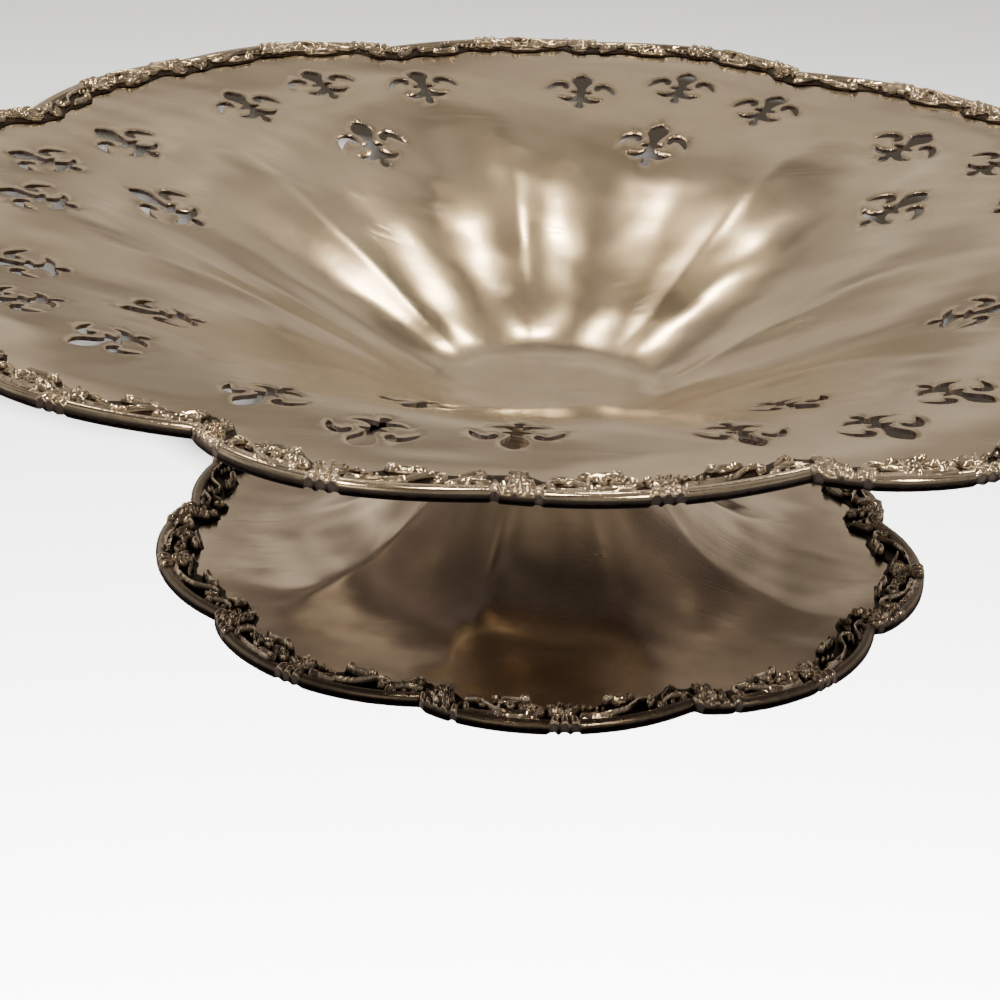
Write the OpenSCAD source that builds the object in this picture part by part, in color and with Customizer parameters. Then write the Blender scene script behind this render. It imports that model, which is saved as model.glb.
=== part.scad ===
// Footed compote bowl: a fluted, pierced silver bowl on a low spreading foot, with struck
// borders soldered round both edges. Millimetres, +Z up, the table is Z = 0.

/* [Bowl] */
// Height of the flange above the table, at its edge
flange_h = 80; // [72:1:95]
// Height of the bowl's inside floor above the table
floor_h = 39; // [36:1:44]
// Radius of the flat floor inside
floor_r = 24; // [23:1:32]
// Thickness of the silver sheet of bowl and foot
sheet_t = 1; // [0.8:0.1:1.5]
// How far the creases between the flutes stand up from the wall
crease_h = 2.6; // [0.6:0.2:5]
// Number of flutes, each with one pierced group and two border sections
flutes = 8; // [6:1:9]

/* [Rim outline] */
// Radius of the rim at its deep notches
rim_notch_r = 142; // [136:1:150]
// How much further out the shallow notches lie
rim_step = 7; // [3:0.5:8]
// Swell of the wide lobe above its notches
wide_swell = 6.9; // [3:0.1:8]
// Swell of the narrow lobe above its notches
narrow_swell = 3; // [1:0.1:5]
// Turn of the first deep notch round the bowl, in degrees
rim_turn = 17.5; // [0:0.5:45]

/* [Piercing] */
// Width of a pierced fleur
fleur_w = 17.4; // [12:0.1:18.5]
// Length of a pierced fleur from stem to tip
fleur_l = 18.6; // [14:0.1:20]
// Distance of the middle fleur's centre inside the rim's notch radius
fleur_mid_in = 20; // [18:0.5:26]
// Distance of the two outer fleurs' centres inside the rim's notch radius
fleur_side_in = 27; // [26:0.5:31]
// Distance of the inner fleur's centre inside the rim's notch radius
fleur_low_in = 50; // [46:0.5:54]
// Angle between neighbouring fleurs of one group, in degrees
fleur_pitch = 12.2; // [11.2:0.1:13]

/* [Border] */
// Width of the struck border strip
border_w = 11; // [9:0.5:13]
// Width of the rounded moulding along the strip's outer edge
moulding_w = 3; // [2.4:0.1:4]
// Height of the strip's relief above the sheet
relief_h = 1.8; // [1.2:0.1:2.5]
// How far the moulding hangs below the sheet it is soldered round
moulding_lip = 0.7; // [0.3:0.1:1.2]
// Thickness of the strip between its mouldings
strip_t = 0.8; // [0.5:0.1:1.2]
// Radius of the flower at the start of each section
flower_r = 3.4; // [2.4:0.1:3.6]
// Radius of the scrolls along each section
scroll_r = 2.3; // [1.6:0.1:2.6]
// Radius of the raised line of a scroll
scroll_line_r = 0.7; // [0.4:0.05:0.8]
// Radius of the bead that starts a scroll
scroll_bead_r = 0.9; // [0.6:0.05:1]
// Length of the leaf that clasps the moulding at the middle of a section
clasp_l = 7; // [5:0.5:9]
// Radius of the ribs of that leaf
clasp_rib_r = 0.9; // [0.6:0.05:1]

/* [Foot] */
// Radius of the foot at its notches
foot_notch_r = 82.5; // [76:0.5:90]
// Swell of a foot lobe above its notches
foot_swell = 4.6; // [2:0.1:6]
// How much the second half of a foot lobe stands out
foot_step = 1.6; // [0:0.1:3]
// Number of foot lobes, each with one border section
foot_lobes = 9; // [7:1:10]
// Radius of the foot's stem at its top
stem_r = 20; // [16:0.5:21]
// How sharply the foot spreads
foot_flare = 3; // [2:0.1:4]
// Height of the ridges between the foot's lobes
foot_crease_h = 1; // [0:0.1:2]
// Turn of the first foot notch, in degrees
foot_turn = 12; // [0:0.5:40]

/* [Neck] */
// Height of the ring between bowl and foot
neck_h = 3; // [2:0.5:5]
// How far the ring stands out past the stem
neck_out = 2; // [1:0.25:3]

/* [Fits] */
// Gap left for solder between touching pieces
solder_gap = 0.1; // [0.05:0.05:0.15]

/* [Hidden] */
rim_sections = 2 * flutes;
$fn = 48;

// The sheet's top side at the foot's edge: the moulding under it stands on the table
lip_drop = sheet_t + moulding_lip;
foot_edge_h = lip_drop;
neck_top = floor_h - sheet_t;
stem_top = neck_top - neck_h;
rim_mean_r = rim_notch_r + rim_step / 2 + wide_swell / 2;
// A fleur is cut from just above the floor to past the highest crease
fleur_cut_h = flange_h - floor_h + crease_h;
// Where along a flute its pierced group and its crease lie
fleur_group_share = 0.25;
crease_share = 0.75;
// How early a lobe swells: with a smaller number its steep side is steeper
wide_skew = 0.8;
narrow_skew = 0.9;
foot_skew = 0.65;
foot_step_skew = 1.8;
// A crease dies away at this share of the way from floor to notch
crease_end_share = 0.85;
// Where a crease is highest: a little past half its length if above 1, nearer the floor below 1
crease_skew = 1.1;
// How late, going outwards, the rings of corners take on the lobes of the edge
bowl_lobe_power = 6;
foot_lobe_power = 5;
// Points along a section, closer together after its notch
section_steps = 7;
step_power = 1.25;
step_shares = [for (i = [0 : section_steps]) pow(i / section_steps, step_power)];

// Outline of the rim and the foot

// A hump that rises faster than it falls, from 0 to 1 and back as t goes from 0 to 1
function hump(t, skew) = sin(180 * pow(t, skew));
function wrap(u) = u - floor(u);
// Radius of the rim as u goes once along a flute: wide lobe, shallow notch, narrow lobe
function rim_lobe(u) = u < 0.5
    ? rim_notch_r + rim_step * 2 * u + wide_swell * hump(2 * u, wide_skew)
    : rim_notch_r + rim_step * (2 - 2 * u) + narrow_swell * hump(2 * u - 1, narrow_skew);
function rim_edge(a) = rim_lobe(wrap((a - rim_turn) * flutes / 360));
// Radius of the foot as u goes once along a lobe
function foot_lobe(u) = foot_notch_r + foot_swell * hump(u, foot_skew)
    + foot_step * hump(u, foot_step_skew);
function foot_edge(a) = foot_lobe(wrap((a - foot_turn) * foot_lobes / 360));

// Height of the sheets' top sides

// How near a direction is to a crease, from 0 between two creases to 1 on one
function ridge(u) = pow(1 - abs(wrap(u + 0.5) - 0.5) * 2, 2);
function bowl_slope(r) = min(1, max(0, (r - floor_r) / (rim_notch_r - floor_r)));
function bowl_crease(a, r) = let (
    t = min(1, bowl_slope(r) / crease_end_share),
    u = (a - rim_turn) * flutes / 360 - crease_share
) crease_h * ridge(u) * hump(t, crease_skew);
function bowl_z(a, r) = floor_h + (flange_h - floor_h) * sin(90 * bowl_slope(r)) + bowl_crease(a, r);
foot_flat_r = foot_notch_r - border_w;
function foot_slope(r) = min(1, max(0, (r - stem_r) / (foot_flat_r - stem_r)));
function foot_crease(a, r) = let (
    u = (a - foot_turn) * foot_lobes / 360
) foot_crease_h * ridge(u) * sin(180 * foot_slope(r));
function foot_z(a, r) = foot_edge_h + (stem_top - foot_edge_h) * pow(1 - foot_slope(r), foot_flare)
    + foot_crease(a, r);

// A point s inside the edge in direction a, and h above the sheet
function at(a, r, z) = [r * cos(a), r * sin(a), z];
function rim_point(a, s, h) = at(a, rim_edge(a) - s, bowl_z(a, rim_edge(a) - s) + h);
function foot_point(a, s, h) = at(a, foot_edge(a) - s, foot_z(a, foot_edge(a) - s) + h);
function edge_point(on_rim, a, s, h) = on_rim ? rim_point(a, s, h) : foot_point(a, s, h);
function section_angle(on_rim) = 360 / (on_rim ? rim_sections : foot_lobes);
function section_start(on_rim, k) = (on_rim ? rim_turn : foot_turn) + k * section_angle(on_rim);

// Triangles between two loops of n points that start at points i and j
function band(i, j, n) = [for (k = [0 : n - 1]) let (m = (k + 1) % n)
    each [[i + k, i + m, j + m], [i + k, j + m, j + k]]];

// Directions of the sheet's corners, the same ones that the border sections use
bowl_dirs = [for (k = [0 : rim_sections - 1]) for (i = [0 : section_steps - 1])
    section_start(true, k) + step_shares[i] * section_angle(true)];
foot_dirs = [for (k = [0 : foot_lobes - 1]) for (i = [0 : section_steps - 1])
    section_start(false, k) + step_shares[i] * section_angle(false)];

// Bowl: one sheet, raised into flutes and a wide flange, then pierced
bowl_ring_shares = [0, 0.09, 0.19, 0.3, 0.41, 0.52, 0.63, 0.73, 0.82, 0.9, 0.96, 1];
shell_in = moulding_w + solder_gap;
function bowl_ring_r(a, share) = floor_r + share * (rim_mean_r - shell_in - floor_r)
    + pow(share, bowl_lobe_power) * (rim_edge(a) - rim_mean_r);

module bowl_sheet() {
    n = len(bowl_dirs);
    rings = len(bowl_ring_shares);
    top = [for (share = bowl_ring_shares) for (a = bowl_dirs)
        let (r = bowl_ring_r(a, share)) at(a, r, bowl_z(a, r))];
    under = [for (p = top) [p.x, p.y, p.z - sheet_t]];
    mid_top = len(top) + len(under);
    mid_under = mid_top + 1;
    last = (rings - 1) * n;
    faces = concat(
        [for (k = [0 : n - 1]) [mid_top, (k + 1) % n, k]],
        [for (i = [0 : rings - 2]) each band(i * n, (i + 1) * n, n)],
        band(last, rings * n + last, n),
        [for (i = [0 : rings - 2]) each
            [for (f = band((rings + i) * n, (rings + i + 1) * n, n)) [f[0], f[2], f[1]]]],
        [for (k = [0 : n - 1]) [mid_under, rings * n + k, rings * n + (k + 1) % n]]
    );
    polyhedron(concat(top, under, [[0, 0, floor_h], [0, 0, floor_h - sheet_t]]), faces);
}

// A fleur's outlines: x as shares of its width from the middle, y as shares of its length
// from the foot of the stem. The body is given by one side, the petal beside it whole.
body_shares = [
    [0, 0], [0.052, 0.027], [0.063, 0.086], [0.04, 0.172], [0.126, 0.156], [0.224, 0.167],
    [0.316, 0.247], [0.23, 0.247], [0.149, 0.269], [0.086, 0.328], [0.057, 0.398],
    [0.149, 0.43], [0.149, 0.478], [0.063, 0.516], [0.092, 0.645], [0.149, 0.763],
    [0.138, 0.871], [0.069, 0.957], [0, 1]
];
petal_shares = [
    [0.19, 0.559], [0.184, 0.634], [0.236, 0.699], [0.333, 0.715], [0.425, 0.661],
    [0.489, 0.548], [0.5, 0.419], [0.42, 0.511], [0.356, 0.575], [0.293, 0.586],
    [0.259, 0.538], [0.218, 0.522]
];
function fleur_points(shares) = [for (p = shares) [p.x * fleur_w, (p.y - 0.5) * fleur_l]];

module fleur() {
    right = fleur_points(body_shares);
    left = [for (i = [len(right) - 2 : -1 : 1]) [-right[i].x, right[i].y]];
    linear_extrude(height = fleur_cut_h) {
        polygon(concat(right, left));
        for (side = [0, 1]) mirror([side, 0]) polygon(fleur_points(petal_shares));
    }
}

// One fleur, its tip to the rim, in direction a and its centre at radius r
module fleur_at(a, r) {
    translate(at(a, r, floor_h + sheet_t)) rotate([0, 0, a - 90]) fleur();
}

module bowl_shell() {
    color("tan") difference() {
        bowl_sheet();
        for (k = [0 : flutes - 1]) {
            mid = rim_turn + (k + fleur_group_share) * 360 / flutes;
            fleur_at(mid, rim_notch_r - fleur_mid_in);
            fleur_at(mid - fleur_pitch, rim_notch_r - fleur_side_in);
            fleur_at(mid + fleur_pitch, rim_notch_r - fleur_side_in);
            fleur_at(mid, rim_notch_r - fleur_low_in);
        }
    }
}

// Border strip: an outer moulding that wraps the sheet's edge, a channel, and an inner rib.
// Stations across it go inwards from the edge, each with its top and its underside.
function strip_stations() = let (in_w = border_w - moulding_w) [
    [0, relief_h * 0.2, -lip_drop * 0.5],
    [moulding_w * 0.3, relief_h * 0.9, -lip_drop],
    [moulding_w * 0.93, relief_h * 0.75, -lip_drop],
    [moulding_w, strip_t, solder_gap],
    [moulding_w + in_w * 0.55, strip_t, solder_gap],
    [moulding_w + in_w * 0.7, relief_h * 0.95, solder_gap],
    [moulding_w + in_w * 0.87, relief_h * 0.8, solder_gap],
    [border_w, strip_t * 0.4, solder_gap]
];

module border_strip(on_rim, k) {
    stations = strip_stations();
    m = len(stations);
    n = 2 * m;
    start = section_start(on_rim, k);
    turn = section_angle(on_rim);
    // The strip's two ends stand off the joint by half a solder gap
    end_turn = solder_gap / (on_rim ? rim_notch_r : foot_notch_r) * 90 / PI;
    dirs = [for (i = [0 : section_steps])
        start + step_shares[i] * turn + (i == 0 ? end_turn : i == section_steps ? -end_turn : 0)];
    pts = [for (a = dirs) each concat(
        [for (q = stations) edge_point(on_rim, a, q[0], q[1])],
        [for (i = [m - 1 : -1 : 0]) edge_point(on_rim, a, stations[i][0], stations[i][2])]
    )];
    end = section_steps * n;
    faces = concat(
        [for (i = [0 : section_steps - 1]) each band((i + 1) * n, i * n, n)],
        [for (i = [0 : m - 2]) each [[i, n - 2 - i, i + 1], [i, n - 1 - i, n - 2 - i]]],
        [for (i = [0 : m - 2]) each
            [[end + i, end + i + 1, end + n - 2 - i], [end + i, end + n - 2 - i, end + n - 1 - i]]]
    );
    polyhedron(pts, faces);
}

// Puts its child on the strip, l along the section from its start and s inside the edge
module on_strip(on_rim, k, l, s, h) {
    a = section_start(on_rim, k) + l / (on_rim ? rim_notch_r : foot_notch_r) * 180 / PI;
    translate(edge_point(on_rim, a, s, h)) rotate([0, 0, a + 90]) children();
}

// Five petals round a bead
module flower() {
    petals = 5;
    petal_share = 0.36;
    petal_r = flower_r * petal_share;
    sphere(petal_r);
    for (i = [1 : petals]) rotate([0, 0, i * 360 / petals])
        translate([flower_r - petal_r, 0, 0]) sphere(petal_r);
}

// A raised line curled through most of a turn
module scroll(start_dir, turn) {
    rotate([0, 0, start_dir]) {
        rotate_extrude(angle = turn) translate([scroll_r - scroll_line_r, 0]) circle(scroll_line_r);
        translate([scroll_r - scroll_line_r, 0, 0]) sphere(scroll_bead_r);
    }
}

// A leaf of three ribs that clasps the moulding
module clasp() {
    // The ribs overlap a little: their pitch, in rib radii, is under two
    rib_pitch_share = 1.7;
    for (x = [-1, 0, 1]) translate([x * clasp_rib_r * rib_pitch_share, 0, 0]) rotate([90, 0, 0])
        cylinder(h = clasp_l, r = clasp_rib_r, center = true);
}

module border_section(on_rim, k) {
    length = section_angle(on_rim) * PI / 180 * (on_rim ? rim_notch_r : foot_notch_r);
    // The flower and the scrolls sit in a row a third of the way across the channel
    row_share = 0.34;
    row = moulding_w + (border_w - moulding_w) * row_share;
    // Where along the section the scrolls and the clasp sit, and how far a scroll curls
    scroll_shares = [0.27, 0.73];
    clasp_share = 0.5;
    clasp_sink_share = 0.55;
    scroll_turn = 250;
    border_strip(on_rim, k);
    on_strip(on_rim, k, flower_r + strip_t, row + strip_t, strip_t) flower();
    on_strip(on_rim, k, length * scroll_shares[0], row, strip_t) scroll(0, scroll_turn);
    on_strip(on_rim, k, length * clasp_share, clasp_l / 2 + strip_t, relief_h * clasp_sink_share) clasp();
    on_strip(on_rim, k, length * scroll_shares[1], row, strip_t) scroll(180, -scroll_turn);
}

module rim_border(k) color("darkgoldenrod") border_section(true, k);

module foot_border(k) color("dimgray") border_section(false, k);

// Neck: a plain ring soldered between the stem and the bowl's underside
module neck_ring() {
    bead_r = neck_h / 2;
    color("gray") rotate_extrude() {
        translate([stem_r - sheet_t, stem_top]) square([sheet_t + neck_out - bead_r, neck_h]);
        translate([stem_r + neck_out - bead_r, stem_top + bead_r]) circle(bead_r);
    }
}

// Foot: one sheet, spread like a trumpet from the stem to a lobed edge
foot_ring_shares = [0, 0.06, 0.13, 0.22, 0.33, 0.46, 0.6, 0.76, 0.9, 1];

module foot_shell() {
    n = len(foot_dirs);
    rings = len(foot_ring_shares);
    mean_r = foot_notch_r + foot_swell / 2;
    top = [for (share = foot_ring_shares) for (a = foot_dirs) let (
        lobed = pow(share, foot_lobe_power) * (foot_edge(a) - mean_r),
        r = stem_r + share * (mean_r - shell_in - stem_r) + lobed
    ) at(a, r, foot_z(a, r))];
    // The inner side: the sheet's thickness lies inwards at the steep stem and downwards
    // from this share of the way out
    flat_share = 0.25;
    under = [for (i = [0 : rings - 1]) for (j = [0 : n - 1]) let (
        p = top[i * n + j],
        down = min(1, foot_ring_shares[i] / flat_share),
        inward = 1 - down
    ) at(foot_dirs[j], norm([p.x, p.y]) - sheet_t * inward, p.z - sheet_t * down)];
    faces = concat(
        [for (i = [0 : rings - 2]) each band(i * n, (i + 1) * n, n)],
        band((rings - 1) * n, (2 * rings - 1) * n, n),
        [for (i = [0 : rings - 2]) each
            [for (f = band((rings + i) * n, (rings + i + 1) * n, n)) [f[0], f[2], f[1]]]],
        [for (f = band(0, rings * n, n)) [f[0], f[2], f[1]]]
    );
    color("gray") polyhedron(concat(top, under), faces);
}

bowl_shell();
for (k = [1 : rim_sections]) rim_border(k - 1);
neck_ring();
foot_shell();
for (k = [1 : foot_lobes]) foot_border(k - 1);
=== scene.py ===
# A footed compote bowl of old silver: a fluted, pierced bowl on a low spreading foot, with
# struck borders soldered round both edges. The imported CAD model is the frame, and each
# section below makes one piece, or one group of like pieces, round it. All in metres.
import math

import bpy
import numpy as np
from mathutils import Matrix, Vector
from mathutils.geometry import delaunay_2d_cdt


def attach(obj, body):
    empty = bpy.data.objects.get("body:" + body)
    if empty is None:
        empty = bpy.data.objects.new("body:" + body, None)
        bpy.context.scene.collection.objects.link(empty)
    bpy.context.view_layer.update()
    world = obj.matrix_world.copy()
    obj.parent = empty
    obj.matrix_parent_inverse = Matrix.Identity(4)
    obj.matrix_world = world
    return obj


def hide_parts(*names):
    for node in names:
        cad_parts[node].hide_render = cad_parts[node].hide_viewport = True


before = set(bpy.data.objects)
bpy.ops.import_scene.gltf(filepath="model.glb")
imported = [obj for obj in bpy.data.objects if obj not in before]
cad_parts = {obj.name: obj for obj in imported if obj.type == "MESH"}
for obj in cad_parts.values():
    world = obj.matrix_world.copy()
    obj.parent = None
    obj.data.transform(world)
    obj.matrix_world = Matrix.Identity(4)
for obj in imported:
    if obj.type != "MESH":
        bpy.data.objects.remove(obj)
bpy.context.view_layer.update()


# Camera: it looks slightly down across the bowl from in front of its near rim, so close
# that both ends of the rim lie outside the picture. It leans a little, as if hand held.
camera_place = Vector((-0.0147, -0.5574, 0.2650))
camera_down, camera_aside, camera_lean = math.radians(24.40), math.radians(0.52), math.radians(2.30)
bpy.ops.object.select_all(action="DESELECT")
bpy.ops.object.camera_add()
camera = bpy.context.object
camera.name = "camera"
camera.data.sensor_width = 36
camera.data.lens = 96.2
camera.data.clip_start = 0.01
camera.matrix_world = (
    Matrix.Translation(camera_place)
    @ Matrix.Rotation(-camera_aside, 4, "Z")
    @ Matrix.Rotation(math.radians(90) - camera_down, 4, "X")
    @ Matrix.Rotation(camera_lean, 4, "Z")
)
bpy.context.scene.camera = camera


# Bowl shell: one sheet of silver, raised into eight flutes under a wide flange, then pierced
# with four fleurs in each flute and planished. One flute is laid out flat from crease to
# crease, its fleurs cut out, then bent to shape, and the bowl is eight of them round.
flange_h, floor_h, floor_r, sheet_t = 0.080, 0.039, 0.024, 0.001
crease_h, crease_end_share, crease_skew, crease_share = 0.0026, 0.85, 1.1, 0.75
crease_round, floor_round = 0.008, 0.045
flutes, rim_turn = 8, 17.5
rim_notch_r, rim_step, wide_swell, narrow_swell = 0.142, 0.007, 0.0069, 0.003
wide_skew, narrow_skew = 0.8, 0.9
rim_mean_r = rim_notch_r + rim_step / 2 + wide_swell / 2
moulding_w, solder_gap = 0.003, 0.0001
shell_in = moulding_w + solder_gap


def hump(t, skew):
    return np.sin(np.pi * np.clip(t, 0, 1) ** skew)


def rim_edge(a):
    u = ((a - rim_turn) * flutes / 360) % 1
    wide = rim_notch_r + rim_step * 2 * u + wide_swell * hump(2 * u, wide_skew)
    narrow = rim_notch_r + rim_step * (2 - 2 * u) + narrow_swell * hump(2 * u - 1, narrow_skew)
    return np.where(u < 0.5, wide, narrow)


def ridge(u):
    off = ((u + 0.5) % 1 - 0.5) * 2
    return (1 - np.minimum(1, np.sqrt(off**2 + crease_round))) ** 2


def bowl_z(a, r):
    slope = (r - floor_r) / (rim_notch_r - floor_r)
    slope = np.clip((slope + np.sqrt(slope**2 + floor_round**2)) / 2, 0, 1)
    crease = ridge((a - rim_turn) * flutes / 360 - crease_share)
    rise = crease_h * crease * hump(slope / crease_end_share, crease_skew)
    return floor_h + (flange_h - floor_h) * np.sin(np.pi / 2 * slope) + rise


def bowl_ring_r(a, share):
    lobed = share**6 * (rim_edge(a) - rim_mean_r)
    return floor_r + share * (rim_mean_r - shell_in - floor_r) + lobed


# The fleur's body, by one side from the foot of its stem, and the petal beside it
fleur_w, fleur_l, fleur_pitch = 0.0174, 0.0186, 12.2
body_shares = [
    (0, 0), (0.052, 0.027), (0.063, 0.086), (0.04, 0.172), (0.126, 0.156), (0.224, 0.167),
    (0.316, 0.247), (0.23, 0.247), (0.149, 0.269), (0.086, 0.328), (0.057, 0.398),
    (0.149, 0.43), (0.149, 0.478), (0.063, 0.516), (0.092, 0.645), (0.149, 0.763),
    (0.138, 0.871), (0.069, 0.957), (0, 1),
]
petal_shares = [
    (0.19, 0.559), (0.184, 0.634), (0.236, 0.699), (0.333, 0.715), (0.425, 0.661),
    (0.489, 0.548), (0.5, 0.419), (0.42, 0.511), (0.356, 0.575), (0.293, 0.586),
    (0.259, 0.538), (0.218, 0.522),
]


def smooth_loop(points, steps=3):
    """The closed curve through points, with steps points for each of them."""
    p = np.array(points)
    before, after, far = np.roll(p, 1, 0), np.roll(p, -1, 0), np.roll(p, -2, 0)
    loop = []
    for t in np.arange(steps) / steps:
        loop.append(0.5 * (2 * p + (after - before) * t
                           + (2 * before - 5 * p + 4 * after - far) * t**2
                           + (3 * p - before - 3 * after + far) * t**3))
    return np.stack(loop, 1).reshape(-1, 2)


def fleur_loops(a, r):
    """The three cut outlines of a fleur that points to the rim in direction a, in plan."""
    body = body_shares + [(-x, y) for x, y in body_shares[-2:0:-1]]
    mirrored = [(-x, y) for x, y in reversed(petal_shares)]
    out = Vector((math.cos(math.radians(a)), math.sin(math.radians(a))))
    aside = Vector((out.y, -out.x))
    loops = []
    for shares in (body, petal_shares, mirrored):
        flat = smooth_loop([(x * fleur_w, (y - 0.5) * fleur_l) for x, y in shares])
        loops.append(flat[:, :1] * np.array(aside) + (r + flat[:, 1:]) * np.array(out))
    return loops


def gap_to(points, loops):
    """How far each point lies from the nearest of the outlines."""
    best = np.full(len(points), 1.0)
    for loop in loops:
        start, along = loop, np.roll(loop, -1, 0) - loop
        t = np.einsum("ijk,jk->ij", points[:, None] - start, along) / (along**2).sum(1)
        near = start + np.clip(t, 0, 1)[..., None] * along
        best = np.minimum(best, np.linalg.norm(points[:, None] - near, axis=2).min(1))
    return best


def inside_any(points, loops):
    inside = np.zeros(len(points), bool)
    x, y = points[:, :1], points[:, 1:]
    for loop in loops:
        (x0, y0), (x1, y1) = loop.T, np.roll(loop, -1, 0).T
        crosses = (y0 > y) != (y1 > y)
        with np.errstate(divide="ignore", invalid="ignore"):
            left = x < (x1 - x0) * (y - y0) / (y1 - y0) + x0
        inside |= (crosses & left).sum(1) % 2 == 1
    return inside


flute_angle = 360 / flutes
flute_start = rim_turn + (crease_share - 1) * flute_angle
group_share, outer_in, inner_in, side_in = 0.25, 0.020, 0.050, 0.027
group_mid = rim_turn + group_share * flute_angle
loops = []
for a, inwards in ((group_mid, outer_in), (group_mid, inner_in),
                   (group_mid - fleur_pitch, side_in), (group_mid + fleur_pitch, side_in)):
    loops += fleur_loops(a, rim_notch_r - inwards)

# The flute's grid in plan: columns from crease to crease, rows from the floor's edge to the
# rim, and a few rings on the floor, without the points that lie in or close to a cut
columns, rows, floor_steps = 52, 50, 6
cut_zone_w, cut_clear = 0.0014, 0.0004
directions = flute_start + np.arange(columns + 1) / columns * flute_angle
floor_rings = np.arange(1, floor_steps) / floor_steps * floor_r
ring_shares = np.arange(rows + 1) / rows
grid_a, grid_share = np.meshgrid(directions, ring_shares)
grid_r = bowl_ring_r(grid_a, grid_share)
floor_a, floor_rr = np.meshgrid(directions, floor_rings)
flat_a = np.radians(np.concatenate([floor_a.ravel(), grid_a.ravel()]))
flat_r = np.concatenate([floor_rr.ravel(), grid_r.ravel()])
plan = np.stack([flat_r * np.cos(flat_a), flat_r * np.sin(flat_a)], 1)
edge_first = len(plan) - (columns + 1)
kept = (gap_to(plan, loops) > cut_zone_w) & ~inside_any(plan, loops)
kept[edge_first:] = True
order = np.cumsum(kept) - 1
edge_line = [(int(order[i]), int(order[i + 1])) for i in range(edge_first, len(plan) - 1)]

# Finer points, close to the cuts, let the sheet roll over softly into them
fine_step, fine_row_share, fine_count, group_mid_r = 0.00075, 0.87, 60, 0.11
nx, ny = np.meshgrid(np.arange(-fine_count, fine_count + 1), np.arange(-fine_count, fine_count + 1))
middle = Vector((math.cos(math.radians(group_mid)), math.sin(math.radians(group_mid)))) * group_mid_r
fill = np.stack([middle.x + (nx + 0.5 * (ny % 2)) * fine_step,
                 middle.y + ny * fine_step * fine_row_share], -1).reshape(-1, 2)
fill_gap = gap_to(fill, loops)
fill = fill[(fill_gap > cut_clear) & (fill_gap < cut_zone_w) & ~inside_any(fill, loops)]
corners = [np.zeros((1, 2)), fill] + loops
points = np.concatenate([plan[kept]] + corners)
cuts, start = [], int(kept.sum()) + 1 + len(fill)
for loop in loops:
    cuts += [(start + i, start + (i + 1) % len(loop)) for i in range(len(loop))]
    start += len(loop)
flat, _, faces, *_ = delaunay_2d_cdt([Vector(p) for p in points], edge_line + cuts, [], 0, 1e-7)
flat, faces = np.array([tuple(p) for p in flat]), np.array(faces)

# Triangles in the cuts and past the rim go, and so do the slivers along the flute's two seams
sliver_w = 1e-5
middles = flat[faces].mean(1)
mid_a = np.degrees(np.arctan2(middles[:, 1], middles[:, 0]))
on_sheet = ~inside_any(middles, loops) & (np.hypot(*middles.T) < bowl_ring_r(mid_a, np.ones(len(mid_a))))
sides = flat[faces] - flat[np.roll(faces, 1, 1)]
longest = np.linalg.norm(sides, axis=2).max(1)
narrow = np.abs(sides[:, 0, 0] * sides[:, 1, 1] - sides[:, 0, 1] * sides[:, 1, 0]) / longest < sliver_w
faces = faces[on_sheet & ~narrow]
cut_gap = gap_to(flat, loops)

# The cuts' edges are rolled over by the punch, with dirt along them, and the hammer has left
# soft low waves. Wide uneven places make the reflections as irregular as on the real bowl.
punch_roll, punch_w, dirt_w = 0.00022, 0.00045, 0.0015
wave_h, bowl_uneven_h = 0.00007, 0.0005
border_w, ring_r, fade_w = 0.011, 0.026, 0.014


def planished(a, r, z, edge, uneven_h):
    """The height z with the hammer's waves, and wide uneven places clear of ring and border."""
    x, y = r * np.cos(np.radians(a)), r * np.sin(np.radians(a))
    waves = (np.sin(x * 210 + 1.3 * np.sin(y * 170)) * np.cos(y * 190 + 0.7)
             + 0.6 * np.sin(x * 330 + y * 270 + 2) * np.sin(y * 350 - x * 120))
    uneven = (np.sin(x * 72 + 0.9 * np.sin(y * 55 + 1.2)) * np.cos(y * 64 + 1.9)
              + 0.6 * np.sin(x * 43 - y * 88 + 0.5))
    free = np.clip((r - ring_r) / fade_w, 0, 1) * np.clip((edge - border_w - r) / fade_w, 0, 1)
    return z + wave_h * waves + uneven_h * uneven * free**2 * (3 - 2 * free)


flat_a = np.degrees(np.arctan2(flat[:, 1], flat[:, 0]))
flat_r = np.hypot(*flat.T)
sheet, turned_faces, near_cut = [], [], []
for k in range(flutes):
    a = flat_a + k * flute_angle
    z = planished(a, flat_r, bowl_z(a, flat_r), rim_edge(a), bowl_uneven_h)
    z = z - punch_roll * np.exp(-(cut_gap / punch_w) ** 2)
    sheet.append(np.stack([flat_r * np.cos(np.radians(a)), flat_r * np.sin(np.radians(a)), z], 1))
    turned_faces.append(faces + k * len(flat))
    near_cut.append(np.exp(-cut_gap / dirt_w))


seam_join, sheet_smooth = 2e-5, math.radians(40)


def mesh_piece(name, points, faces, mark_name=None, marks=None, join=None):
    """A mesh object with a mark at each point, points nearer than join made one, and its
    faces turned the same way."""
    mesh = bpy.data.meshes.new(name)
    mesh.from_pydata(points, [], faces)
    if mark_name:
        mark = mesh.attributes.new(mark_name, "FLOAT", "POINT")
        mark.data.foreach_set("value", marks.astype(np.float32))
    piece = bpy.data.objects.new(name, mesh)
    bpy.context.collection.objects.link(piece)
    bpy.ops.object.select_all(action="DESELECT")
    piece.select_set(True)
    bpy.context.view_layer.objects.active = piece
    bpy.ops.object.mode_set(mode="EDIT")
    bpy.ops.mesh.select_all(action="SELECT")
    if join:
        bpy.ops.mesh.remove_doubles(threshold=join)
    bpy.ops.mesh.normals_make_consistent(inside=False)
    bpy.ops.object.mode_set(mode="OBJECT")
    return piece


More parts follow.
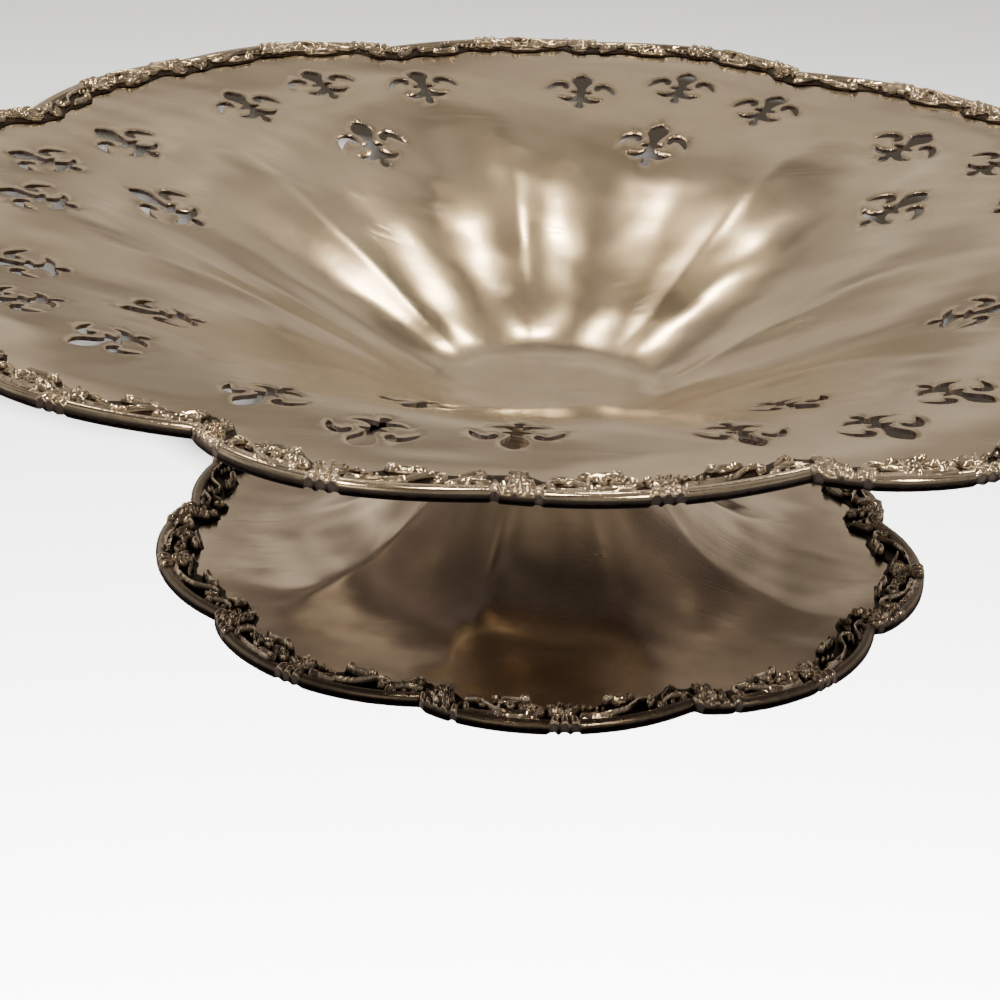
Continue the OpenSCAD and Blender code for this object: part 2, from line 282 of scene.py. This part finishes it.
def sheet_piece(name, points, faces, mark_name=None, marks=None):
    """One open sheet, its seams closed and its upper side facing up."""
    piece = mesh_piece(name, points, faces, mark_name, marks, seam_join)
    if sum(p.normal.z * p.area for p in piece.data.polygons) < 0:
        piece.data.flip_normals()
    return piece


def thicken(piece, thickness):
    """The sheet's thickness, below its upper side."""
    solid = piece.modifiers.new("thickness", "SOLIDIFY")
    solid.thickness = thickness
    solid.offset = -1
    solid.use_even_offset = False
    bpy.ops.object.modifier_apply(modifier=solid.name)


bowl = sheet_piece("bowl_shell_pierced", np.concatenate(sheet).tolist(),
                   np.concatenate(turned_faces).tolist(), "near_cut", np.concatenate(near_cut))
thicken(bowl, sheet_t)
bpy.ops.object.shade_smooth_by_angle(angle=sheet_smooth)

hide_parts("bowl_shell")
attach(bowl, "root")


def new_material(name):
    """A new material, its node tree and its Principled shader."""
    material = bpy.data.materials.new(name)
    material.use_nodes = True
    tree = material.node_tree
    return material, tree, tree.nodes["Principled BSDF"]


def add(tree, kind, inputs=None, **values):
    """One node, its settings, and its inputs: a number, a colour or another node's output."""
    node = tree.nodes.new(kind)
    for key, value in values.items():
        setattr(node, key, value)
    for key, value in (inputs or {}).items():
        if isinstance(value, bpy.types.NodeSocket):
            tree.links.new(value, node.inputs[key])
        else:
            node.inputs[key].default_value = value
    return node


def group(name, inputs, outputs):
    """A shader node group with these inputs and outputs: its tree, and their sockets in it."""
    tree = bpy.data.node_groups.new(name, "ShaderNodeTree")
    for socket, kind, value in inputs:
        made = tree.interface.new_socket(socket, in_out="INPUT", socket_type=kind)
        if value is not None:
            made.default_value = value
    for socket, kind in outputs:
        tree.interface.new_socket(socket, in_out="OUTPUT", socket_type=kind)
    return tree, tree.nodes.new("NodeGroupInput").outputs, tree.nodes.new("NodeGroupOutput").inputs


def math_node(tree, operation, a, b=0.0):
    return add(tree, "ShaderNodeMath", {0: a, 1: b}, operation=operation).outputs[0]


def noise(tree, vector, scale, detail=4.0, roughness=0.55):
    return add(tree, "ShaderNodeTexNoise", {"Vector": vector, "Scale": scale, "Detail": detail,
                                            "Roughness": roughness}).outputs["Fac"]


def ramp(tree, value, low, high, to_low=0.0, to_high=1.0):
    return add(tree, "ShaderNodeMapRange", {"Value": value, "From Min": low, "From Max": high,
                                            "To Min": to_low, "To Max": to_high}).outputs["Result"]


# Scratches: three sets of fine straight marks that cross, each broken up in patches
scratch_tree, given, out = group(
    "fine_scratches", [("Place", "NodeSocketVector", None), ("Fineness", "NodeSocketFloat", 1.0)],
    [("Scratch", "NodeSocketFloat")])
marks = 0.0
for turn, seed in ((14, 0.0), (71, 3.1), (128, 7.7)):
    turned = add(scratch_tree, "ShaderNodeMapping", {
        "Vector": given["Place"], "Location": (seed, seed, 0), "Rotation": (0, 0, math.radians(turn)),
        "Scale": (38, 1900, 60)}).outputs[0]
    fibre = noise(scratch_tree, turned, given["Fineness"], 2.0, 0.6)
    patch = noise(scratch_tree, given["Place"], 31.0 + seed, 2.0)
    line = ramp(scratch_tree, fibre, 0.60, 0.72)
    here = ramp(scratch_tree, patch, 0.48, 0.70)
    marks = math_node(scratch_tree, "MAXIMUM", math_node(scratch_tree, "MULTIPLY", line, here), marks)
scratch_tree.links.new(marks, out["Scratch"])

# Tarnish: a cloudy brown veil that wiping leaves in some places
tarnish_tree, given, out = group(
    "tarnish_veil", [("Place", "NodeSocketVector", None), ("Amount", "NodeSocketFloat", 0.5)],
    [("Veil", "NodeSocketFloat")])
cloud = noise(tarnish_tree, given["Place"], 13.0, 5.0, 0.62)
speck = noise(tarnish_tree, given["Place"], 210.0, 3.0, 0.6)
veil = math_node(tarnish_tree, "ADD", ramp(tarnish_tree, cloud, 0.42, 0.72),
                 ramp(tarnish_tree, speck, 0.62, 0.8, 0, 0.25))
tarnish_tree.links.new(math_node(tarnish_tree, "MULTIPLY", veil, given["Amount"]), out["Veil"])


def sheet_silver(name, bright, dull, tarnish, near_cut):
    """Old sheet silver: scratched and smeared, with a veil of tarnish between bright and dull."""
    silver, tree, shader = new_material(name)
    shader.inputs["Metallic"].default_value = 1
    place = add(tree, "ShaderNodeTexCoord").outputs["Object"]
    scratch = add(tree, "ShaderNodeGroup", {}, node_tree=scratch_tree)
    tree.links.new(place, scratch.inputs["Place"])
    veil = add(tree, "ShaderNodeGroup", {}, node_tree=tarnish_tree)
    tree.links.new(place, veil.inputs["Place"])
    veil.inputs["Amount"].default_value = tarnish
    dirt = veil.outputs["Veil"]
    if near_cut:
        cut = add(tree, "ShaderNodeAttribute", attribute_name="near_cut").outputs["Fac"]
        dirt = math_node(tree, "ADD", dirt, math_node(tree, "MULTIPLY", cut, 0.35))
    colour = add(tree, "ShaderNodeMix", {"Factor": dirt, 6: bright, 7: dull}, data_type="RGBA")
    tree.links.new(colour.outputs[2], shader.inputs["Base Color"])
    smear = noise(tree, place, 45.0, 5.0, 0.6)
    gloss = math_node(tree, "ADD", ramp(tree, smear, 0.3, 0.7, 0.11, 0.19),
                      math_node(tree, "MULTIPLY", scratch.outputs["Scratch"], 0.07))
    rough = math_node(tree, "ADD", gloss, math_node(tree, "MULTIPLY", veil.outputs["Veil"], 0.15))
    tree.links.new(rough, shader.inputs["Roughness"])
    dents = add(tree, "ShaderNodeBump", {"Height": noise(tree, place, 75.0, 3.0, 0.5), "Strength": 0.1,
                                         "Distance": 0.0006})
    lines = add(tree, "ShaderNodeBump", {"Height": scratch.outputs["Scratch"], "Strength": 0.2,
                                         "Distance": 0.00006, "Normal": dents.outputs["Normal"]}, invert=True)
    tree.links.new(lines.outputs["Normal"], shader.inputs["Normal"])
    return silver


bowl_silver = sheet_silver("old_polished_silver", (0.86, 0.79, 0.68, 1), (0.50, 0.42, 0.33, 1), 0.4, True)
bowl.data.materials.append(bowl_silver)


# Rim and foot borders: strips of silver struck in a die with a flower, scrolls, leaves and
# beads, trimmed along the leaves, and soldered end to end over the sheet's edge. One
# pattern serves all sections: it is struck flat, then bent round the rim and the foot.
pattern_l = 0.058
mm = 0.001

# The plain strip across: how far inside the edge and how high above the sheet, from the
# moulding's underside round its outer side to the channel behind it
moulding_profile = [
    (2.9, -1.5), (2.3, -1.68), (1.3, -1.66), (0.55, -1.38), (0.13, -0.8), (0, -0.1), (0.12, 0.6),
    (0.5, 1.12), (1.05, 1.42), (1.7, 1.46), (2.3, 1.22), (2.75, 0.8), (3.15, 0.5), (3.7, 0.42), (4.6, 0.45),
]
groove_in, channel_in, channel_h = 3.15, 4.6, 0.45

# Its inner edge falls a little and is rounded, the relief swells the moulding's side too, and
# the strip's back lies just above the sheet
inner_fall, inner_round_w, side_swell = 0.25, 0.7, 0.55
back_h, back_in, back_trim = 0.1, 3.3, 0.1


def even_steps(points, step):
    """Points at even steps along a path through points, and the path's length at each."""
    p = np.array(points, float)
    reach = np.concatenate([[0], np.cumsum(np.linalg.norm(np.diff(p, axis=0), axis=1))])
    at = np.linspace(0, reach[-1], int(round(reach[-1] / step)) + 1)
    return np.stack([np.interp(at, reach, p[:, i]) for i in range(p.shape[1])], 1), at


class Die:
    """The die's relief in millimetres: along the strip, and inwards across it."""

    def __init__(self, along, across):
        self.x, self.y = along, across
        self.h = np.zeros_like(along)
        self.floor = np.zeros_like(along)

    def raise_to(self, h):
        self.h = np.maximum(self.h, h)

    def boss(self, x, y, rx, ry, h, turn=0):
        c, s = math.cos(math.radians(turn)), math.sin(math.radians(turn))
        dx, dy = self.x - x, self.y - y
        q = ((dx * c + dy * s) / rx) ** 2 + ((dy * c - dx * s) / ry) ** 2
        self.raise_to(h * np.sqrt(np.clip(1 - q, 0, 1)))

    def cup(self, x, y, rx, ry, h, turn=0, depth=0.75):
        """A boss hollowed in the middle, with a raised lip."""
        c, s = math.cos(math.radians(turn)), math.sin(math.radians(turn))
        dx, dy = self.x - x, self.y - y
        q = ((dx * c + dy * s) / rx) ** 2 + ((dy * c - dx * s) / ry) ** 2
        lip = h * np.exp(-((np.sqrt(q) - 0.8) / 0.2) ** 2)
        bowl_in = h * (1 - depth) * (q < 1)
        self.raise_to(np.maximum(lip, bowl_in) * (q < 1.6))

    def line(self, points, width, h, taper=1):
        """A raised round line through points; its far end is taper times as wide."""
        path, _ = even_steps(points, 0.25)
        best = np.full(self.x.shape, -1.0)
        for i, (px, py) in enumerate(path):
            w = width * (1 + (taper - 1) * i / max(1, len(path) - 1))
            q = ((self.x - px) ** 2 + (self.y - py) ** 2) / w**2
            best = np.maximum(best, (h * (0.6 + 0.4 * w / width)) * np.sqrt(np.clip(1 - q, 0, 1)))
        self.raise_to(best)

    def curl(self, x, y, r0, r1, start, turn, width, h, taper=0.6):
        """A scroll round (x, y), from radius r0 in direction start to radius r1."""
        t = np.linspace(0, 1, 24)
        a = np.radians(start + turn * t)
        r = r0 + (r1 - r0) * t
        self.line(np.stack([x + r * np.cos(a), y + r * np.sin(a)], 1), width, h, taper)

    def leaf(self, x, y, length, width, direction, h, ribs=3):
        """A pointed leaf from (x, y), with ribs that fan towards its tip."""
        c, s = math.cos(math.radians(direction)), math.sin(math.radians(direction))
        l, w = (self.x - x) * c + (self.y - y) * s, (self.y - y) * c - (self.x - x) * s
        t = np.clip(l / length, 0, 1)
        half = width * np.sqrt(np.clip(t * (1 - t) ** 0.8 * 3.2, 0, 1)) + 1e-6
        q = np.clip(1 - (w / half) ** 2, 0, 1) * (l > 0) * (l < length)
        grooves = 0.72 + 0.28 * np.cos(w / half * np.pi * ribs)
        self.raise_to(h * np.sqrt(q) * grooves)


def struck(along, across):
    """The relief of one section, flower to flower."""
    d = Die(along, across)
    # the flower at the notch, between two bars laid over the moulding
    for x, lean in ((0.9, -0.3), (8.3, 0.9)):
        d.line([(x, -3.2), (x + 0.2, -0.8), (x, 1.2), (x + 0.3, 3.6), (x + lean, 5)], 0.8, 0.75, 0.7)
    d.boss(4.6, 4.0, 0.95, 0.95, 1.75)
    for i in range(6):
        a = math.radians(i * 60 + 12)
        d.cup(4.6 + 2.0 * math.cos(a), 4.0 + 2.0 * math.sin(a), 1.15, 0.95, 1.35, i * 60 + 12)
    for x, y in ((2.5, 0.7), (4.3, 0.3), (6.3, 0.6)):
        d.boss(x, y, 0.7, 0.7, 0.6)
    for direction, length in ((62, 3.4), (90, 4.0), (118, 3.4)):
        d.leaf(4.6, 6.0, length, 1.1, direction, 1.1)
    # the long double scroll that runs out of the flower and onto the moulding
    d.line([(10.6, 2.6), (10.0, 4.2), (10.2, 5.8), (11.6, 6.8), (13.4, 6.4), (15.2, 4.9), (17.4, 3.6),
            (20.5, 2.9), (24.5, 2.5)], 0.62, 1.45, 0.7)
    d.line([(10.4, 3.0), (11.4, 3.2), (13.5, 3.0), (16.5, 2.3), (20, 1.9), (24, 1.7)], 0.6, 0.75, 0.8)
    d.line([(13.0, 5.4), (14.2, 5.6), (15.4, 6.8), (16.2, 8.2)], 0.5, 1.0, 0.6)
    # the small scroll with its eye, and the rolled leaf behind it
    d.curl(18.8, 5.9, 2.1, 0.7, 215, -300, 0.5, 1.35, 0.8)
    d.boss(19.1, 5.8, 0.5, 0.5, 1.3)
    d.leaf(15.0, 8.4, 6.8, 1.3, 8, 1.3, 2)
    d.boss(22.2, 9.0, 1.5, 1.15, 1.85, 10)
    # the cupped leaf with its grains
    d.cup(23.6, 5.7, 3.0, 1.5, 1.15, -14, 0.6)
    for x, y in ((21.9, 6.3), (23.1, 6.4), (24.3, 5.9), (25.3, 5.3), (22.7, 5.4), (23.9, 4.9), (25.0, 4.4)):
        d.boss(x, y, 0.5, 0.5, 1.25)
    # the leaf that clasps the moulding, three ribs over its side
    for x, lean in ((28.4, -0.5), (30.3, 0.0), (32.2, 0.5)):
        d.line([(x + lean, -3.3), (x + lean * 0.5, -1.0), (x, 1.4), (x - lean * 0.4, 3.4)], 0.95, 0.75, 0.75)
    for direction, length in ((40, 4.0), (68, 4.6), (98, 4.8), (130, 4.2), (155, 3.4)):
        d.leaf(30.3, 3.6, length, 1.05, direction, 1.45)
    d.boss(30.3, 3.4, 0.8, 0.8, 1.6)
    # beads along the channel, then the second half's lighter scrolls
    for x, y, r in ((27.2, 6.9, 0.55), (34.6, 6.6, 0.6), (36.0, 5.9, 0.55), (37.3, 5.4, 0.5),
                    (38.5, 5.0, 0.45)):
        d.boss(x, y, r, r, 1.2)
    d.line([(34.0, 2.9), (37, 3.2), (40.5, 3.4), (43.6, 4.2), (45.6, 5.7), (47.2, 6.8), (49.2, 6.7),
            (50.2, 5.6), (49.8, 4.4), (48.7, 4.1)], 0.55, 1.3, 0.8)
    d.boss(48.8, 5.1, 0.55, 0.55, 1.25)
    d.leaf(46.6, 8.2, 6.4, 1.25, 176, 1.25, 2)
    d.boss(40.2, 8.6, 1.4, 1.1, 1.8, -8)
    d.cup(44.6, 8.3, 1.1, 0.8, 1.3, 20)
    d.line([(50.8, 3.0), (52.6, 4.2), (54.6, 4.8), (56.6, 4.4), (58.2, 3.2)], 0.6, 1.2, 0.8)
    d.leaf(52.4, 5.4, 4.6, 1.2, 38, 1.2)
    d.leaf(56.6, 5.4, 3.6, 1.0, 100, 1.1)
    for x, y in ((52.2, 3.0), (54.2, 3.2), (56.4, 2.6)):
        d.boss(x, y, 0.6, 0.6, 0.9)
    return d.h


# The inner edge is trimmed along the leaves
trim_line = [
    (0, 8.6), (2, 9.2), (4.6, 10.6), (7, 9.2), (9, 7.6), (12, 8.2), (15, 9.4), (18, 10.2), (22, 10.9),
    (24, 9.4), (26, 7.9), (28, 8.4), (30.3, 9.2), (33, 8.2), (36, 7.6), (38, 8.8), (40.2, 10.2),
    (43, 9.9), (46.5, 9.8), (49, 8.4), (52, 8.2), (55, 9.3), (58, 8.6),
]
outer_rows, under_rows, inner_rows, strip_columns = 20, 3, 22, 190
profile_step, border_smooth = 0.3, math.radians(60)


def border_mesh(name, first, turn, edge, height, boldness, top):
    """A section from direction first, struck flat and bent along edge(a) at height(a, r).
    Its relief is boldness times the die's, and ends top millimetres above the sheet."""
    profile, _ = even_steps(moulding_profile, profile_step)
    x = np.linspace(0, pattern_l / mm, strip_columns + 1)
    trim = np.interp(x, *zip(*trim_line))
    inner_share, _ = even_steps([(0, 0), (1, 0)], 1 / inner_rows)
    s = np.concatenate([np.tile(profile[:, :1], strip_columns + 1),
                        channel_in + inner_share[1:, :1] * (trim - channel_in)])
    h = np.concatenate([np.tile(profile[:, 1:], strip_columns + 1),
                        channel_h - inner_fall * np.repeat(inner_share[1:, :1] ** 6, strip_columns + 1, 1)])
    # the distance across, measured along the surface from the groove behind the moulding
    steps = np.hypot(np.diff(s, axis=0), np.diff(h, axis=0))
    across = np.concatenate([np.zeros((1, strip_columns + 1)), np.cumsum(steps, 0)])
    row = np.arange(len(s))[:, None]
    groove = np.argmin(np.abs(s - groove_in) + (row < outer_rows) * 9, 0)[0]
    across = across - across[groove] + groove_in
    relief = boldness * struck(np.tile(x, (len(s), 1)), across)
    over_edge = np.clip((trim + inner_fall - s) / inner_round_w, 0, 1) ** 0.5
    relief = relief * np.where(row > groove, over_edge, 1)
    relief = np.where(row < under_rows, 0, relief)
    # the relief rises along the strip's own normal
    ds, dh = np.gradient(s, axis=0), np.gradient(h, axis=0)
    norm = np.hypot(ds, dh)
    s_out = np.maximum(s - dh / norm * relief * side_swell * (h < 1.3) * (s < 3), 0.02)
    h_out = np.minimum(h + np.abs(ds / norm) * relief, top)
    # the back: just above the sheet, out to the moulding's foot
    s_all = np.concatenate([s_out, trim[None] - back_trim, np.full((1, strip_columns + 1), back_in)])
    h_all = np.concatenate([h_out, np.full((2, strip_columns + 1), back_h)])
    # The colour mark is the relief plus the moulding's upper side. Low marks (hollows, the moulding's lower
    # side, the back) are dark with tarnish and painted shade. High marks are rubbed bright with a painted
    # sheen.
    moulding_wear_and_painted_light = np.clip((h + 0.9) / 2, 0, 1) * (s < 3)
    mark = np.concatenate([relief + moulding_wear_and_painted_light, np.zeros((2, strip_columns + 1))])
    rows = len(s_all)
    share = x / x[-1]
    clear = solder_gap / edge(np.array(first)) * 90 / math.pi
    a = first + clear + share * (turn - 2 * clear)
    r = edge(a) - s_all * mm
    z = height(a, r) + h_all * mm
    points = np.stack([r * np.cos(np.radians(a)), r * np.sin(np.radians(a)), z], -1)
    index = np.arange(rows * (strip_columns + 1)).reshape(rows, strip_columns + 1)
    low, high = index, np.roll(index, -1, 0)
    quads = np.stack([low[:, :-1], low[:, 1:], high[:, 1:], high[:, :-1]], -1).reshape(-1, 4)
    ends = [index[::-1, 0].tolist(), index[:, -1].tolist()]
    piece = mesh_piece(name, points.reshape(-1, 3).tolist(), quads.tolist() + ends, "relief", mark.ravel())
    bpy.ops.object.shade_smooth_by_angle(angle=border_smooth)
    return piece


def turned_copy(piece, name, angle):
    """A copy with its own mesh, turned round the bowl's middle."""
    copy = piece.copy()
    copy.data = piece.data.copy()
    copy.name = copy.data.name = name
    copy.data.transform(Matrix.Rotation(math.radians(angle), 4, "Z"))
    bpy.context.collection.objects.link(copy)
    return copy


def struck_silver(name, bright, dull, hollow, dark_to, bright_from):
    """Struck silver, dark in its hollows with tarnish and painted shade, and bright on its tops, rubbed and
    with a painted sheen.
    """
    silver, tree, shader = new_material(name)
    shader.inputs["Metallic"].default_value = 1
    place = add(tree, "ShaderNodeTexCoord").outputs["Object"]
    # The relief mark paints tarnish and shade in the hollows, and wear and sheen on the tops.
    relief_wear_and_shade = add(tree, "ShaderNodeAttribute", attribute_name="relief").outputs["Fac"]
    veil = add(tree, "ShaderNodeGroup", {}, node_tree=tarnish_tree)
    tree.links.new(place, veil.inputs["Place"])
    veil.inputs["Amount"].default_value = 0.5
    patchy = math_node(tree, "MULTIPLY", noise(tree, place, 500.0, 3.0), 0.35)
    grime_and_shade = math_node(tree, "SUBTRACT", relief_wear_and_shade, patchy)
    wear_and_shade = ramp(tree, grime_and_shade, dark_to, bright_from)
    top = add(tree, "ShaderNodeMix", {"Factor": veil.outputs["Veil"], 6: bright, 7: dull}, data_type="RGBA")
    worn = add(tree, "ShaderNodeMix", {"Factor": wear_and_shade, 6: hollow, 7: top.outputs[2]}, data_type="RGBA")
    tree.links.new(worn.outputs[2], shader.inputs["Base Color"])
    tree.links.new(ramp(tree, wear_and_shade, 0, 1, 0.38, 0.09), shader.inputs["Roughness"])
    pits = add(tree, "ShaderNodeBump", {"Height": noise(tree, place, 900.0, 3.0), "Strength": 0.3,
                                        "Distance": 0.0001})
    tree.links.new(pits.outputs["Normal"], shader.inputs["Normal"])
    return silver


# Near black in the hollows: tarnish and painted shade.
rim_silver = struck_silver("struck_silver_tarnish_and_shade_in_the_hollows", (0.90, 0.83, 0.73, 1), (0.44, 0.37, 0.31, 1),
                           (0.03, 0.021, 0.018, 1), 0.0, 0.9)
rim_boldness, rim_top = 1, 2.0
rim_section_angle = flute_angle / 2
rim_sections = []
for k in range(2 * flutes):
    name = f"rim_border_{k + 1}_struck"
    if k < 2:  # one on the wide half of a lobe, and one on its narrow half
        section = border_mesh(name, rim_turn + k * rim_section_angle, rim_section_angle, rim_edge, bowl_z,
                              rim_boldness, rim_top)
        section.data.materials.append(rim_silver)
    else:
        section = turned_copy(rim_sections[k % 2], name, k // 2 * flute_angle)
    rim_sections.append(section)
for k, section in enumerate(rim_sections):
    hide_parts(f"rim_border_{k + 1}")
    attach(section, "root")


# Foot: one sheet of silver, darker than the bowl's with more tarnish and painted shade, spread like a trumpet
# from the stem to nine lobes and open underneath. Its top is soldered under the neck ring.
foot_lobes, foot_turn = 9, 12
foot_notch_r, foot_swell, foot_step = 0.0825, 0.0046, 0.0016
foot_skew, foot_step_skew = 0.65, 1.8
stem_r, foot_flare, foot_crease_h = 0.020, 3, 0.001
foot_edge_h, neck_h = 0.0017, 0.003
stem_top = floor_h - sheet_t - neck_h
foot_flat_r = foot_notch_r - border_w


def foot_edge(a):
    u = ((a - foot_turn) * foot_lobes / 360) % 1
    return foot_notch_r + foot_swell * hump(u, foot_skew) + foot_step * hump(u, foot_step_skew)


def foot_z(a, r):
    slope = np.clip((r - stem_r) / (foot_flat_r - stem_r), 0, 1)
    crease = foot_crease_h * ridge((a - foot_turn) * foot_lobes / 360) * np.sin(np.pi * slope)
    return foot_edge_h + (stem_top - foot_edge_h) * (1 - slope) ** foot_flare + crease


foot_mean_r = foot_notch_r + foot_swell / 2
foot_uneven_h = 0.0003
around, outwards, crowding = 360, 60, 1.3
a, share = np.meshgrid(np.arange(around) * 360 / around, (np.arange(outwards + 1) / outwards) ** crowding)
r = stem_r + share * (foot_mean_r - shell_in - stem_r) + share**5 * (foot_edge(a) - foot_mean_r)
z = planished(a, r, foot_z(a, r), foot_edge(a), foot_uneven_h)
points = np.stack([r * np.cos(np.radians(a)), r * np.sin(np.radians(a)), z], -1).reshape(-1, 3)
index = np.arange(len(points)).reshape(outwards + 1, around)
low, high = index[:-1], index[1:]
quads = np.stack([low, np.roll(low, -1, 1), np.roll(high, -1, 1), high], -1).reshape(-1, 4)
foot = sheet_piece("foot_shell_spread", points.tolist(), quads.tolist())
thicken(foot, sheet_t)
bpy.ops.object.shade_smooth_by_angle(angle=sheet_smooth)
# Darker colours than the bowl's: more tarnish, and painted shade on the foot.
foot_silver = sheet_silver("foot_silver_tarnished_and_shaded", (0.76, 0.69, 0.61, 1), (0.27, 0.22, 0.19, 1), 0.7, False)
foot.data.materials.append(foot_silver)
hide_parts("foot_shell")
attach(foot, "root")


# Foot border sections: the rim's struck strip again, bolder, and darker with tarnish and painted shade, one
# bent to each of the foot's nine lobes and soldered end to end over its edge.
# Darker than the rim's: tarnish and painted shade, near black in the hollows.
foot_border_silver = struck_silver("struck_foot_silver_tarnished_and_shaded", (0.80, 0.73, 0.66, 1), (0.34, 0.28, 0.25, 1),
                                   (0.022, 0.016, 0.015, 1), 0.3, 1.8)
foot_boldness, foot_top = 1.5, 3.2
foot_section_angle = 360 / foot_lobes
foot_sections = [border_mesh("foot_border_1_struck", foot_turn, foot_section_angle, foot_edge, foot_z,
                             foot_boldness, foot_top)]
foot_sections[0].data.materials.append(foot_border_silver)
for k in range(1, foot_lobes):
    foot_sections.append(turned_copy(foot_sections[0], f"foot_border_{k + 1}_struck", k * foot_section_angle))
for k, section in enumerate(foot_sections):
    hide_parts(f"foot_border_{k + 1}")
    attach(section, "root")


# Neck ring: the plain turned ring of silver, soldered between bowl and foot. The CAD solid has
# its shape already, so it stays, and gets the foot's silver, darkened with tarnish and painted shade.
neck_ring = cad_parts["neck_ring"]
neck_ring.data.materials.clear()
neck_ring.data.materials.append(foot_silver)


# Floor: a plain pale table top, painted board. Its white doesn't show in the silver, so that the
# silver shows the dim room round it, as in the photograph.
floor_size = 6
bpy.ops.object.select_all(action="DESELECT")
bpy.ops.mesh.primitive_plane_add(size=floor_size)
floor = bpy.context.object
floor.name = "floor"
pale, tree, shader = new_material("pale_floor")
shader.inputs["Base Color"].default_value = (0.9, 0.9, 0.9, 1)
shader.inputs["Roughness"].default_value = 0.9
floor.data.materials.append(pale)
floor.visible_glossy = False


# Light: two soft lamps light the table, and eight small ones show in the silver as warm soft
# spots. Each stands at an azimuth and elevation seen from the middle of the foot, and faces it.
def soft_lamp(name, azimuth, elevation, distance, size, power, colour):
    a, e = math.radians(azimuth), math.radians(elevation)
    way = Vector((math.cos(a) * math.cos(e), math.sin(a) * math.cos(e), math.sin(e)))
    bpy.ops.object.light_add(type="AREA", location=way * distance)
    lamp = bpy.context.object
    lamp.name = name
    lamp.data.shape = "DISK"
    lamp.data.size = size
    lamp.data.energy = power
    lamp.data.color = colour
    lamp.rotation_euler = way.to_track_quat("Z", "Y").to_euler()
    return lamp


# The table lamp is turned down, so that it lights the table under itself too. The back lamp,
# behind it, is turned away from the bowl and lights the rest of the table.
white = (1, 0.99, 0.97)
table_lamp = soft_lamp("table_lamp", -88, 24.5, 0.80, 0.04, 115, white)
table_lamp.rotation_euler = Vector((0, -0.55, 0.835)).to_track_quat("Z", "Y").to_euler()
table_lamp.visible_glossy = False
back_lamp = soft_lamp("back_lamp", -90, 32, 1.90, 0.6, 150, white)
back_lamp.rotation_euler = Vector((0, 0.68, 0.73)).to_track_quat("Z", "Y").to_euler()
back_lamp.visible_glossy = False
warm_lamps_away, warm = 1.6, (1, 0.76, 0.45)
for name, azimuth, elevation, size, power in (
    ("lamp_overhead", 74, 69, 0.10, 1.5),
    ("lamp_far_left", 111, 61, 0.10, 0.9),
    ("lamp_left", 119, 49, 0.10, 1.2),
    ("lamp_far_right", 56, 50, 0.16, 1.9),
    ("lamp_front", -112, 24, 0.5, 1.0),
    ("lamp_near_right", -60, 45, 0.15, 7),
    ("lamp_near_left", -128, 55, 0.15, 7),
    ("lamp_near_top", -90, 74, 0.15, 6),
):
    lamp = soft_lamp(name, azimuth, elevation, warm_lamps_away, size, power, warm)
    lamp.visible_diffuse = False

# The room: a dim warm wall beyond the table, darker towards the camera and dark below the
# table. It shows in the silver, and lights the table's shadows only a little.
world = bpy.data.worlds.new("dim_warm_room")
bpy.context.scene.world = world
world.use_nodes = True
tree = world.node_tree
towards = add(tree, "ShaderNodeTexCoord").outputs["Generated"]
parts = add(tree, "ShaderNodeSeparateXYZ", {"Vector": towards}).outputs
sky = add(tree, "ShaderNodeValToRGB", {"Fac": ramp(tree, parts["Z"], -1, 1)})
sky_stops = sky.color_ramp.elements
sky_stops[0].color, sky_stops[1].color = (0.12, 0.095, 0.105, 1), (0.27, 0.225, 0.17, 1)
for share, colour in ((0.46, (0.17, 0.138, 0.118, 1)), (0.52, (0.60, 0.50, 0.38, 1)),
                      (0.64, (0.52, 0.43, 0.325, 1)), (0.80, (0.40, 0.335, 0.25, 1))):
    sky_stops.new(share).color = colour
furniture = math_node(tree, "MULTIPLY", ramp(tree, noise(tree, towards, 3.0, 2.0), 0.34, 0.66, 0.25, 1.6),
                      ramp(tree, noise(tree, towards, 9.0, 1.0), 0.35, 0.65, 0.8, 1.2))
dim = math_node(tree, "MULTIPLY", furniture, ramp(tree, parts["Y"], -0.7, 0.35, 0.5, 1))
on_table = ramp(tree, add(tree, "ShaderNodeLightPath").outputs["Is Diffuse Ray"], 0, 1, 1, 0.16)
tree.links.new(sky.outputs["Color"], tree.nodes["Background"].inputs["Color"])
tree.links.new(math_node(tree, "MULTIPLY", dim, on_table), tree.nodes["Background"].inputs["Strength"])
